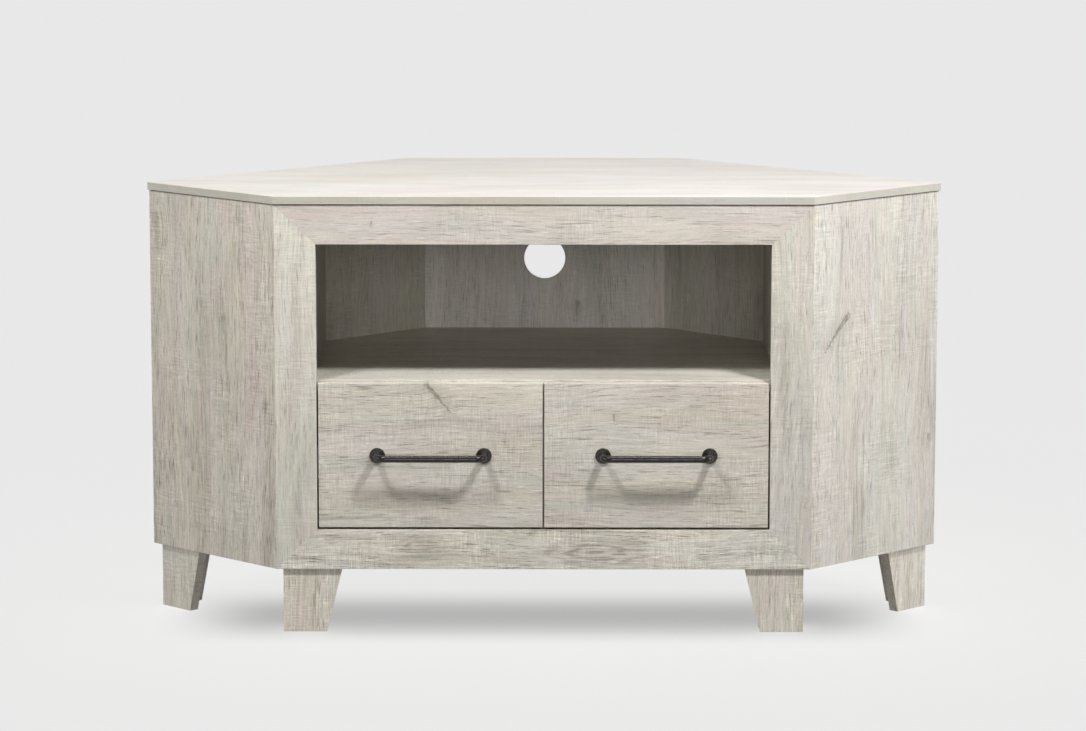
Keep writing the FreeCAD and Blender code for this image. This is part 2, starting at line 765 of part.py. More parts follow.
def left_leg_places():
    """Each left leg's placement, and whether its L is turned over front to back."""
    wide = Vector(-wide_corner(0, 0)[0], wide_corner(0, 0)[1], 0)
    along_side = Vector(1, -1, 0) / ROOT2
    along_rear = Vector(1, 1, 0) / ROOT2
    wide_spot = wide + along_side * SIDE_LEG_INSET + along_rear * LEG_RECESS
    back_x = REAR_LINE - BODY_DEPTH - FRONT_LEG_INSET
    return {
        "front": (Placement(Vector(FRONT_LEG_INSET - FRONT_HALF, LEG_RECESS, 0), Rotation()), False),
        "side": (Placement(wide_spot, Rotation(UP, -45)), False),
        "rear": (Placement(Vector(-back_x, BODY_DEPTH - LEG_RECESS, 0), Rotation()), True),
    }


def in_leg(shape, corner, side):
    """A piece of the standard leg, set at one corner of the cabinet."""
    placement, turned = left_leg_places()[corner]
    if turned:
        shape = shape.mirror(Vector(0, 0, 0), Vector(0, 1, 0))
    shape = shape.copy()
    shape.Placement = placement.multiply(shape.Placement)
    return on_side(shape, -side)


LEG_CORNERS = ("front", "side", "rear")


def block_screws():
    """The screws of the corner blocks, up into the bottom panel."""
    found = []
    for corner in LEG_CORNERS:
        placement, turned = left_leg_places()[corner]
        local = Vector(BLOCK_SCREW, -BLOCK_SCREW if turned else BLOCK_SCREW, LEG_HEIGHT - BLOCK_GRIP)
        spot = placement.multVec(local)
        found += [(spot, UP), (Vector(-spot.x, spot.y, spot.z), UP)]
    return found


# ---- Making every node -------------------------------------------------------------------------

def make_case():
    save("top_panel", top_panel())
    save("upper_deck", upper_deck())
    save("frame_top_rail", frame_rail(BODY_TOP, OPENING_HIGH))
    save("frame_bottom_rail", frame_rail(LEG_HEIGHT, OPENING_LOW))
    save("bottom_panel", bottom_panel())
    save("media_shelf", media_shelf())
    save("drawer_divider", drawer_divider())
    save("centre_back_panel", centre_back_panel())
    for name, side in SIDES:
        save("frame_" + name + "_stile", frame_stile(side))
        save(name + "_side_panel", on_side(right_side_panel(), side))
        save(name + "_rear_panel", on_side(right_rear_panel(), side))
        save(name + "_gable", gable(name, side))


def make_legs():
    board = leg_board()
    for corner in LEG_CORNERS:
        for name, side in SIDES:
            leg = name + "_" + corner + "_leg"
            save(leg + "_outer_board", in_leg(board, corner, side))
            save(leg + "_inner_board", in_leg(other_board(board), corner, side))
    blocks = [in_leg(corner_block(), corner, side) for corner in LEG_CORNERS for _, side in SIDES]
    save("leg_corner_blocks", *blocks)


def make_fasteners():
    cams = all_cams()
    locks = [placed(cam_lock(thickness), place) for place, thickness in cams]
    bolts = [placed(cam_bolt(), place) for place, _ in cams]
    save("cam_fittings", *locks, *bolts)
    long_ones = top_screws() + block_screws()
    save("large_screws", *[screw(LARGE_SCREW, point, way) for point, way in long_ones])
    short_ones = back_screws()
    for name, side in SIDES:
        short_ones += cabinet_member_screws(name, side)
    save("case_screws", *[screw(CASE_SCREW, point, way) for point, way in short_ones])


def make_drawer(name, side):
    save(name + "_drawer_front", drawer_front(side))
    save(name + "_drawer_outer_side", drawer_side(side, True))
    save(name + "_drawer_inner_side", drawer_side(side, False))
    save(name + "_drawer_back", drawer_back(side))
    save(name + "_drawer_bottom", drawer_bottom(side))
    save(name + "_handle_bar", handle_bar(side))
    save(name + "_handle_rosettes", *[rosette(spot) for spot in handle_spots(side)])
    save(name + "_handle_screws", *[handle_screw(spot) for spot in handle_spots(side)])


def make_slides(name, side):
    walls = slide_walls(side)
    screws = drawer_member_screws(side)
    members = [drilled(drawer_member(wall), DRAWER_SCREW, screws) for wall in walls]
    save(name + "_slide_drawer_members", *members)
    save(name + "_slide_drawer_screws", *[screw(DRAWER_SCREW, point, way) for point, way in screws])
    save(name + "_slide_middle_members", *[middle_member(wall) for wall in walls])
    save(name + "_slide_outer_cages", *[outer_cage(wall) for wall in walls])
    save(name + "_slide_inner_cages", *[inner_cage(wall) for wall in walls])


def make_cabinet_members():
    members = []
    for name, side in SIDES:
        screws = cabinet_member_screws(name, side)
        members += [drilled(cabinet_member(wall), CASE_SCREW, screws) for wall in slide_walls(side)]
    save("slide_cabinet_members", *members)
    save("slide_packers", *[slide_packer(name, side) for name, side in SIDES])


os.makedirs("parts", exist_ok=True)
make_case()
make_legs()
make_fasteners()
make_cabinet_members()
for side_name, side_sign in SIDES:
    make_drawer(side_name, side_sign)
    make_slides(side_name, side_sign)
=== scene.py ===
"""Looks of the corner media cabinet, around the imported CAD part."""

import math

import bpy
from mathutils import Matrix, Vector


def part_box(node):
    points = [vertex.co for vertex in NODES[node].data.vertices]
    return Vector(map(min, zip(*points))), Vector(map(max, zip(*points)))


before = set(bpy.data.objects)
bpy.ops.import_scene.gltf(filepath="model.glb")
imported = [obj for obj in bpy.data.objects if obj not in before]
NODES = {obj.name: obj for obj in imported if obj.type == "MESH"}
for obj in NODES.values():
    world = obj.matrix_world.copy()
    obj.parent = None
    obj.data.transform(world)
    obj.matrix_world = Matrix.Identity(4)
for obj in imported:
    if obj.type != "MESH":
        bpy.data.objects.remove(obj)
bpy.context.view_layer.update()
scene = bpy.context.scene

FRONT_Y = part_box("frame_top_rail")[0].y  # the face of the front frame


# ---------------------------------------------------------------- node helpers
class Tree:
    """Adds nodes to a node tree. Every value may be a number, a tuple or a socket."""

    def __init__(self, tree):
        self.tree = tree

    def node(self, kind, **settings):
        made = self.tree.nodes.new(kind)
        for name, value in settings.items():
            setattr(made, name, value)
        return made

    def put(self, socket, value):
        if isinstance(value, bpy.types.NodeSocket):
            self.tree.links.new(value, socket)
        else:
            socket.default_value = value

    def math(self, operation, a, b=0.0, clamp=False):
        made = self.node("ShaderNodeMath", operation=operation, use_clamp=clamp)
        self.put(made.inputs[0], a)
        self.put(made.inputs[1], b)
        return made.outputs[0]

    def map(self, value, low, high, to_low=0.0, to_high=1.0, smooth=True):
        made = self.node(
            "ShaderNodeMapRange",
            interpolation_type="SMOOTHSTEP" if smooth else "LINEAR",
        )
        for socket, given in zip(made.inputs, (value, low, high, to_low, to_high)):
            self.put(socket, given)
        return made.outputs[0]

    def place(self, vector, scale=(1, 1, 1), offset=(0, 0, 0), turn=(0, 0, 0)):
        made = self.node("ShaderNodeMapping", vector_type="POINT")
        self.put(made.inputs["Vector"], vector)
        self.put(made.inputs["Location"], offset)
        self.put(made.inputs["Rotation"], turn)
        self.put(made.inputs["Scale"], scale)
        return made.outputs[0]

    def noise(self, vector, scale, detail=2.0, rough=0.5, offset=(0, 0, 0), twist=0.0):
        """Noise with so many features to the metre along each axis of vector."""
        made = self.node("ShaderNodeTexNoise")
        self.put(made.inputs["Vector"], self.place(vector, scale, offset))
        self.put(made.inputs["Scale"], 1.0)
        self.put(made.inputs["Detail"], detail)
        self.put(made.inputs["Roughness"], rough)
        self.put(made.inputs["Distortion"], twist)
        return made.outputs["Fac"]

    def mix(self, share, a, b, blend="MIX"):
        made = self.node("ShaderNodeMix", data_type="RGBA", blend_type=blend)
        self.put(made.inputs[0], share)
        self.put(made.inputs[6], a)
        self.put(made.inputs[7], b)
        return made.outputs[2]

    def split(self, vector):
        made = self.node("ShaderNodeSeparateXYZ")
        self.put(made.inputs[0], vector)
        return made.outputs[:]

    def join(self, x, y, z):
        made = self.node("ShaderNodeCombineXYZ")
        for socket, value in zip(made.inputs, (x, y, z)):
            self.put(socket, value)
        return made.outputs[0]


def rgb(red, green, blue):
    """A node colour from linear shares of light."""
    return (red, green, blue, 1.0)


def group(name, inputs, outputs):
    """A node group and its Tree, its input sockets and its output node."""
    tree = bpy.data.node_groups.new(name, "ShaderNodeTree")
    for label, kind, value in inputs:
        socket = tree.interface.new_socket(label, in_out="INPUT", socket_type=kind)
        if value is not None:
            socket.default_value = value
    for label, kind in outputs:
        tree.interface.new_socket(label, in_out="OUTPUT", socket_type=kind)
    t = Tree(tree)
    return tree, t, t.node("NodeGroupInput").outputs, t.node("NodeGroupOutput").inputs


# ------------------------------------------------------------------- the wood
CREAM = rgb(0.545, 0.525, 0.455)
PINK = rgb(0.520, 0.462, 0.405)
GREEN = rgb(0.455, 0.465, 0.385)
TAUPE = rgb(0.300, 0.262, 0.215)
PORE = rgb(0.150, 0.130, 0.105)
CHALK = rgb(0.700, 0.680, 0.610)
STEEL = rgb(0.998, 0.998, 1.030)
STRAW = rgb(1.002, 0.995, 0.965)


def oak_group():
    """Washed oak laminate. Vector is in metres: X along the grain, Y across it."""
    tree, t, given, out = group(
        "washed_oak_laminate",
        [
            ("Vector", "NodeSocketVector", None),
            ("Tint", "NodeSocketColor", rgb(1, 1, 1)),
            ("Streaks", "NodeSocketFloat", 1.0),
            ("Figure", "NodeSocketFloat", 1.0),
            ("Warmth", "NodeSocketFloat", 0.0),
        ],
        [
            ("Color", "NodeSocketColor"),
            ("Roughness", "NodeSocketFloat"),
            ("Height", "NodeSocketFloat"),
        ],
    )
    vector, tint, streaks, figure, warmth = given[0:5]

    # The grain wanders a few millimetres from side to side.
    x, y, z = t.split(vector)
    wander = t.noise(vector, (2.3, 7, 7), 2, 0.5, (3, 0, 0))
    y = t.math("ADD", y, t.math("MULTIPLY", t.math("SUBTRACT", wander, 0.5), 0.045))
    grain = t.join(x, y, z)

    # Tints: cream, with pink and green patches a few centimetres wide.
    pink = t.noise(grain, (3.6, 17, 17), 3, 0.55, (11, 5, 0), 0.6)
    green = t.noise(grain, (4.4, 21, 21), 3, 0.55, (-7, 9, 0), 0.6)
    pink = t.map(t.math("ADD", pink, warmth), 0.44, 0.62)
    green = t.map(t.math("SUBTRACT", green, warmth), 0.46, 0.64)
    color = t.mix(t.math("MULTIPLY", pink, 0.6), CREAM, PINK)
    color = t.mix(t.math("MULTIPLY", green, 0.5), color, GREEN)
    straw = t.map(t.noise(grain, (2.6, 24, 24), 3, 0.5, (9, 9, 4)), 0.36, 0.64)
    color = t.mix(1.0, color, t.mix(straw, STEEL, STRAW), "MULTIPLY")

    # Broad taupe streaks, and finer ones inside them.
    broad = t.noise(grain, (2.1, 30, 30), 5, 0.62, (1, 2, 3), 0.4)
    broad = t.map(broad, 0.47, 0.70)
    fine = t.noise(grain, (9, 150, 150), 3, 0.6, (4, 4, 0), 0.3)
    fine = t.map(fine, 0.42, 0.68)
    streak = t.math("MULTIPLY", broad, t.math("ADD", t.math("MULTIPLY", fine, 0.7), 0.3))
    streak = t.math("MULTIPLY", streak, t.math("MULTIPLY", streaks, 0.55), clamp=True)
    color = t.mix(streak, color, TAUPE)

    # Short dark pores along the grain, gathered where the streaks are.
    pores = t.noise(grain, (34, 560, 560), 2, 0.55, (0, 0, 7))
    where = t.noise(grain, (7, 60, 60), 2, 0.5, (5, 1, 0))
    pores = t.map(t.math("ADD", pores, t.math("MULTIPLY", where, 0.28)), 0.69, 0.84)
    pores = t.math("MULTIPLY", pores, figure)
    color = t.mix(t.math("MULTIPLY", pores, 0.42, clamp=True), color, PORE)

    # White wash left standing in the texture, as short flecks.
    chalk = t.noise(grain, (48, 430, 430), 2, 0.5, (8, 0, 2))
    chalk = t.map(t.math("SUBTRACT", chalk, t.math("MULTIPLY", broad, 0.06)), 0.58, 0.76)
    chalk = t.math("MULTIPLY", chalk, figure)
    color = t.mix(t.math("MULTIPLY", chalk, 0.5, clamp=True), color, CHALK)

    # Faint saw marks square to the grain, in patches, like linen.
    saw = t.noise(vector, (560, 42, 42), 2, 0.55, (0, 6, 0))
    patch = t.map(t.noise(vector, (9, 11, 11), 2, 0.5, (0, 0, 9)), 0.40, 0.62)
    saw = t.math("MULTIPLY", t.math("SUBTRACT", saw, 0.5), patch)
    shade = t.math("MULTIPLY", saw, 0.58)

    # Fine lines that run on along the grain, and an even speckle over all of it.
    lines = t.noise(grain, (15, 360, 360), 4, 0.64, (6, 0, 1), 0.2)
    shade = t.math("ADD", shade, t.math("MULTIPLY", t.math("SUBTRACT", lines, 0.5), 0.62))
    speckle = t.noise(grain, (480, 800, 800), 2, 0.6, (0, 4, 4))
    shade = t.math("ADD", shade, t.math("MULTIPLY", t.math("SUBTRACT", speckle, 0.5), 0.4))

    # Cloudy change of value over a hand's width.
    cloud = t.noise(vector, (5, 9, 9), 3, 0.5, (2, 3, 1))
    shade = t.math("ADD", shade, t.math("MULTIPLY", t.math("SUBTRACT", cloud, 0.5), 0.2))
    shade = t.math("ADD", t.math("MULTIPLY", shade, figure), 1.0)
    tinted = t.node("ShaderNodeVectorMath", operation="MULTIPLY")
    t.put(tinted.inputs[0], color)
    t.put(tinted.inputs[1], tint)
    scaled = t.node("ShaderNodeVectorMath", operation="SCALE")
    t.put(scaled.inputs[0], tinted.outputs[0])
    t.put(scaled.inputs["Scale"], shade)
    t.put(out["Color"], scaled.outputs[0])

    rough = t.math("ADD", 0.47, t.math("MULTIPLY", pores, 0.2))
    rough = t.math("ADD", rough, t.math("MULTIPLY", cloud, 0.12))
    t.put(out["Roughness"], rough)
    height = t.math("SUBTRACT", t.math("MULTIPLY", chalk, 0.5), pores)
    height = t.math("ADD", height, t.math("MULTIPLY", saw, 1.2))
    height = t.math("ADD", height, t.math("MULTIPLY", fine, -0.3))
    t.put(out["Height"], height)
    return tree


def knot_group():
    """One knot or crack: pushes the grain aside and says where it is dark."""
    tree, t, given, out = group(
        "oak_knot",
        [
            ("Vector", "NodeSocketVector", None),
            ("Centre", "NodeSocketVector", None),
            ("Angle", "NodeSocketFloat", 0.0),
            ("Length", "NodeSocketFloat", 0.03),
            ("Width", "NodeSocketFloat", 0.008),
        ],
        [
            ("Vector", "NodeSocketVector"),
            ("Crack", "NodeSocketFloat"),
            ("Halo", "NodeSocketFloat"),
        ],
    )
    vector, centre, angle, length, width = given[0:5]
    away = t.node("ShaderNodeVectorMath", operation="SUBTRACT")
    t.put(away.inputs[0], vector)
    t.put(away.inputs[1], centre)
    turned = t.node("ShaderNodeVectorRotate", rotation_type="Z_AXIS")
    t.put(turned.inputs["Vector"], away.outputs[0])
    t.put(turned.inputs["Angle"], t.math("MULTIPLY", angle, -1.0))
    along, across, _ = t.split(turned.outputs[0])
    ragged = t.noise(vector, (240, 240, 240), 4, 0.65)
    ragged = t.math("SUBTRACT", ragged, 0.5)
    across = t.math("ADD", across, t.math("MULTIPLY", ragged, t.math("MULTIPLY", width, 1.7)))
    a = t.math("DIVIDE", along, length)
    b = t.math("DIVIDE", across, width)
    # The crack is widest near one end and thins to a line at the other.
    taper = t.math("MULTIPLY_ADD", a, 0.55)
    taper.node.inputs[2].default_value = 0.62
    far = t.math("DIVIDE", t.math("ABSOLUTE", b), t.math("MAXIMUM", taper, 0.12))
    reach = t.map(t.math("ABSOLUTE", a), 0.8, 1.05, 1.0, 0.0)
    crack = t.math("MULTIPLY", t.map(far, 0.35, 1.0, 1.0, 0.0), reach)
    strands = t.noise(turned.outputs[0], (110, 900, 900), 3, 0.6, (1, 0, 0))
    crack = t.math("MULTIPLY", crack, t.map(strands, 0.42, 0.58, 0.3, 1.0))
    t.put(out["Crack"], crack)
    square = t.math("ADD", t.math("POWER", a, 2.0), t.math("POWER", t.math("DIVIDE", b, 2.6), 2.0))
    halo = t.math("EXPONENT", t.math("MULTIPLY", square, -1.1))
    t.put(out["Halo"], halo)
    side = t.math("DIVIDE", b, t.math("ADD", t.math("ABSOLUTE", b), 0.6))
    push = t.math("MULTIPLY", t.math("MULTIPLY", side, halo), t.math("MULTIPLY", width, -1.6))
    moved = t.node("ShaderNodeVectorMath", operation="ADD")
    t.put(moved.inputs[0], vector)
    t.put(moved.inputs[1], t.join(0.0, push, 0.0))
    t.put(out["Vector"], moved.outputs[0])
    return tree


def cathedral_group():
    """Nested arches of dark grain around a centre, as in a flat-sawn board."""
    tree, t, given, out = group(
        "oak_cathedral",
        [
            ("Vector", "NodeSocketVector", None),
            ("Centre", "NodeSocketVector", None),
            ("Length", "NodeSocketFloat", 0.1),
            ("Width", "NodeSocketFloat", 0.02),
        ],
        [("Dark", "NodeSocketFloat")],
    )
    vector, centre, length, width = given[0:4]
    away = t.node("ShaderNodeVectorMath", operation="SUBTRACT")
    t.put(away.inputs[0], vector)
    t.put(away.inputs[1], centre)
    along, across, _ = t.split(away.outputs[0])
    ragged = t.math("SUBTRACT", t.noise(vector, (10, 90, 90), 4, 0.6, (0, 2, 5)), 0.5)
    a = t.math("DIVIDE", along, length)
    b = t.math("DIVIDE", across, width)
    far = t.math("SQRT", t.math("ADD", t.math("POWER", a, 2.0), t.math("POWER", b, 2.0)))
    far = t.math("ADD", far, t.math("MULTIPLY", ragged, 0.75))
    rings = t.map(t.math("SINE", t.math("MULTIPLY", far, 21.0)), -0.5, 0.9)
    grain = t.map(t.noise(vector, (24, 420, 420), 3, 0.6, (3, 3, 0)), 0.38, 0.62, 0.35, 1.0)
    inside = t.map(far, 0.35, 1.05, 1.0, 0.0)
    dark = t.math("MULTIPLY", t.math("ADD", t.math("MULTIPLY", rings, 0.7), 0.3), inside)
    t.put(out["Dark"], t.math("MULTIPLY", dark, grain))
    return tree


OAK_GROUP = oak_group()
KNOT_GROUP = knot_group()
CATHEDRAL_GROUP = cathedral_group()


def surface(name, specular=0.5, metallic=0.0):
    """A material with its Tree and its Principled node. Constants are set on its sockets."""
    made = bpy.data.materials.new(name)
    made.use_nodes = True
    t = Tree(made.node_tree)
    shader = next(n for n in made.node_tree.nodes if n.type == "BSDF_PRINCIPLED")
    shader.inputs["Specular IOR Level"].default_value = specular
    shader.inputs["Metallic"].default_value = metallic
    return made, t, shader


def bump(t, shader, height, strength, distance):
    made = t.node("ShaderNodeBump")
    made.inputs["Strength"].default_value = strength
    made.inputs["Distance"].default_value = distance
    t.put(made.inputs["Height"], height)
    t.put(shader.inputs["Normal"], made.outputs["Normal"])


def oak(name, along, across, seed, look, edge_light=None):
    """Washed oak whose grain runs along one axis of the row frame.

    The upright edges of a board may have a tint of their own: painted light that sets them apart
    from the faces of the same board."""
    made, t, shader = surface(name, specular=0.42)
    along, across = Vector(along).normalized(), Vector(across).normalized()
    turn = Matrix((along, across, along.cross(across)))
    offset = Vector((1.7 * seed, 0.83 * seed, 0.41 * seed))
    source = t.node("ShaderNodeTexCoord").outputs
    where = t.place(source["Object"], turn=turn.to_euler("XYZ"), offset=offset)
    plain = where
    marks = []
    for point, angle, length, width, dark in look.get("knots", ()):
        knot = t.node("ShaderNodeGroup", node_tree=KNOT_GROUP)
        t.put(knot.inputs["Vector"], where)
        t.put(knot.inputs["Centre"], turn @ Vector(point) + offset)
        t.put(knot.inputs["Angle"], math.radians(angle))
        t.put(knot.inputs["Length"], length)
        t.put(knot.inputs["Width"], width)
        where = knot.outputs["Vector"]
        marks.append((knot, dark))
    wood = t.node("ShaderNodeGroup", node_tree=OAK_GROUP)
    t.put(wood.inputs["Vector"], where)
    t.put(wood.inputs["Tint"], rgb(*look.get("tint", (1, 1, 1))))
    t.put(wood.inputs["Streaks"], look.get("streaks", 1.0))
    t.put(wood.inputs["Figure"], look.get("figure", 1.0))
    t.put(wood.inputs["Warmth"], look.get("warmth", 0.0))
    color, height = wood.outputs["Color"], wood.outputs["Height"]
    for point, length, width, dark in look.get("arches", ()):
        arch = t.node("ShaderNodeGroup", node_tree=CATHEDRAL_GROUP)
        t.put(arch.inputs["Vector"], plain)
        t.put(arch.inputs["Centre"], turn @ Vector(point) + offset)
        t.put(arch.inputs["Length"], length)
        t.put(arch.inputs["Width"], width)
        color = t.mix(t.math("MULTIPLY", arch.outputs["Dark"], dark), color, TAUPE)
    for knot, dark in marks:
        color = t.mix(t.math("MULTIPLY", knot.outputs["Halo"], 0.35 * dark), color, TAUPE)
        color = t.mix(t.math("MULTIPLY", knot.outputs["Crack"], dark), color, PORE)
        height = t.math("SUBTRACT", height, t.math("MULTIPLY", knot.outputs["Crack"], 2.0))
    if edge_light is not None:
        # Painted light: upright faces take the edge tint, while the faces of the board keep their
        # colour.
        facing = t.math("ABSOLUTE", t.split(source["Normal"])[2])
        lit_edge_color = t.mix(1.0, color, edge_light, "MULTIPLY")
        color = t.mix(t.map(facing, 0.3, 0.9), lit_edge_color, color)
    t.put(shader.inputs["Base Color"], color)
    rough = wood.outputs["Roughness"]
    if "gloss" in look:
        rough = t.math("SUBTRACT", rough, look["gloss"])
    t.put(shader.inputs["Roughness"], rough)
    bump(t, shader, height, 0.35, 0.0003)
    return made


# ---------------------------------------------------------- the other finishes
def drawer_board():
    """Pale foil-wrapped board of the drawer boxes, with a fine linen print."""
    made, t, shader = surface("drawer_board", specular=0.4)
    where = t.node("ShaderNodeTexCoord").outputs["Object"]
    thread = t.noise(where, (25, 25, 620), 2, 0.5)
    weft = t.noise(where, (620, 620, 25), 2, 0.5, (3, 0, 0))
    cloud = t.noise(where, (9, 9, 9), 3, 0.5, (0, 5, 0))
    weave = t.math("MULTIPLY", t.math("ADD", thread, weft), 0.5)
    color = t.mix(t.map(weave, 0.38, 0.62), rgb(0.50, 0.48, 0.43), rgb(0.62, 0.60, 0.55))
    color = t.mix(t.map(cloud, 0.3, 0.7, 0.0, 0.35), color, rgb(0.46, 0.43, 0.38))
    t.put(shader.inputs["Base Color"], color)
    t.put(shader.inputs["Roughness"], t.map(weave, 0.3, 0.7, 0.62, 0.48))
    bump(t, shader, weave, 0.25, 0.0002)
    return made


def drawer_base():
    """Hardboard of the drawer bottoms, printed pale, with its pressed fibres."""
    made, t, shader = surface("drawer_base", specular=0.35)
    where = t.node("ShaderNodeTexCoord").outputs["Object"]
    fibre = t.noise(where, (260, 90, 260), 4, 0.6, twist=1.2)
    cloud = t.noise(where, (12, 12, 12), 3, 0.5, (4, 0, 0))
    color = t.mix(t.map(fibre, 0.35, 0.65), rgb(0.56, 0.53, 0.47), rgb(0.66, 0.63, 0.57))
    color = t.mix(t.map(cloud, 0.35, 0.7, 0.0, 0.4), color, rgb(0.50, 0.46, 0.40))
    t.put(shader.inputs["Base Color"], color)
    t.put(shader.inputs["Roughness"], t.map(fibre, 0.3, 0.7, 0.7, 0.55))
    bump(t, shader, fibre, 0.3, 0.0002)
    return made


def block_wood():
    """Sawn softwood blocks behind the legs and under the slides."""
    made, t, shader = surface("block_wood", specular=0.3)
    where = t.node("ShaderNodeTexCoord").outputs["Object"]
    grain = t.noise(where, (180, 180, 14), 4, 0.6, twist=0.8)
    pores = t.map(t.noise(where, (700, 700, 60), 2, 0.5, (2, 0, 0)), 0.58, 0.72)
    color = t.mix(t.map(grain, 0.35, 0.68), rgb(0.56, 0.41, 0.25), rgb(0.40, 0.26, 0.14))
    color = t.mix(t.math("MULTIPLY", pores, 0.4), color, rgb(0.25, 0.16, 0.09))
    t.put(shader.inputs["Base Color"], color)
    t.put(shader.inputs["Roughness"], t.map(grain, 0.3, 0.7, 0.8, 0.65))
    bump(t, shader, t.math("SUBTRACT", grain, pores), 0.5, 0.0004)
    return made


def dark_bronze():
    """Dark gunmetal lacquer of the pulls, rubbed lighter in places."""
    made, t, shader = surface("dark_bronze", specular=0.5, metallic=0.75)
    where = t.node("ShaderNodeTexCoord").outputs["Object"]
    mottle = t.noise(where, (160, 160, 160), 4, 0.6)
    rub = t.map(t.noise(where, (45, 45, 45), 3, 0.5, (5, 0, 0)), 0.5, 0.75)
    brushed = t.noise(where, (60, 1500, 1500), 2, 0.5, (0, 3, 0))
    color = t.mix(t.map(mottle, 0.3, 0.7), rgb(0.024, 0.022, 0.021), rgb(0.040, 0.037, 0.035))
    color = t.mix(t.math("MULTIPLY", rub, 0.25), color, rgb(0.085, 0.080, 0.074))
    t.put(shader.inputs["Base Color"], color)
    t.put(shader.inputs["Roughness"], t.map(mottle, 0.3, 0.7, 0.31, 0.21))
    bump(t, shader, t.math("ADD", brushed, mottle), 0.08, 0.0001)
    return made


def plated(name, base, dull, rough, scale):
    """Bright plated steel with its spangle, dull patches and rolling lines."""
    made, t, shader = surface(name, specular=0.5, metallic=1.0)
    where = t.node("ShaderNodeTexCoord").outputs["Object"]
    lines = t.noise(where, (scale * 6, 12, scale * 6), 3, 0.6)
    spangle = t.noise(where, (scale, scale, scale), 4, 0.6, (0, 0, 4))
    color = t.mix(t.map(spangle, 0.35, 0.7), base, dull)
    t.put(shader.inputs["Base Color"], color)
    both = t.math("ADD", t.math("MULTIPLY", lines, 0.6), t.math("MULTIPLY", spangle, 0.4))
    t.put(shader.inputs["Roughness"], t.map(both, 0.35, 0.65, rough - 0.08, rough + 0.1))
    bump(t, shader, lines, 0.15, 0.0001)
    return made


# --------------------------------------------------------------- which is what
def at(node, x, y, z):
    """A point by its shares of a node's box, in the row frame."""
    low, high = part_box(node)
    return Vector(
        (
            low.x + x * (high.x - low.x),
            low.y + y * (high.y - low.y),
            low.z + z * (high.z - low.z),
        )
    )


UP, RIGHT, BACK = (0, 0, 1), (1, 0, 0), (0, 1, 0)
LEFT_SIDE, RIGHT_SIDE = (-1, 1, 0), (1, 1, 0)  # along the panels at the wide sides
BOARDS = {  # each board's grain, and the direction across it
    "top_panel": (RIGHT, BACK),
    "upper_deck": (RIGHT, BACK),
    "frame_top_rail": (RIGHT, UP),
    "frame_bottom_rail": (RIGHT, UP),
    "frame_left_stile": (UP, RIGHT),
    "frame_right_stile": (UP, RIGHT),
    "bottom_panel": (RIGHT, BACK),
    "media_shelf": (RIGHT, BACK),
    "drawer_divider": (UP, BACK),
    "centre_back_panel": (UP, RIGHT),
    "left_side_panel": (UP, LEFT_SIDE),
    "right_side_panel": (UP, RIGHT_SIDE),
    "left_rear_panel": (UP, RIGHT_SIDE),
    "right_rear_panel": (UP, LEFT_SIDE),
    "left_gable": (UP, BACK),
    "right_gable": (UP, BACK),
    "left_drawer_front": (RIGHT, UP),
    "right_drawer_front": (RIGHT, UP),
}
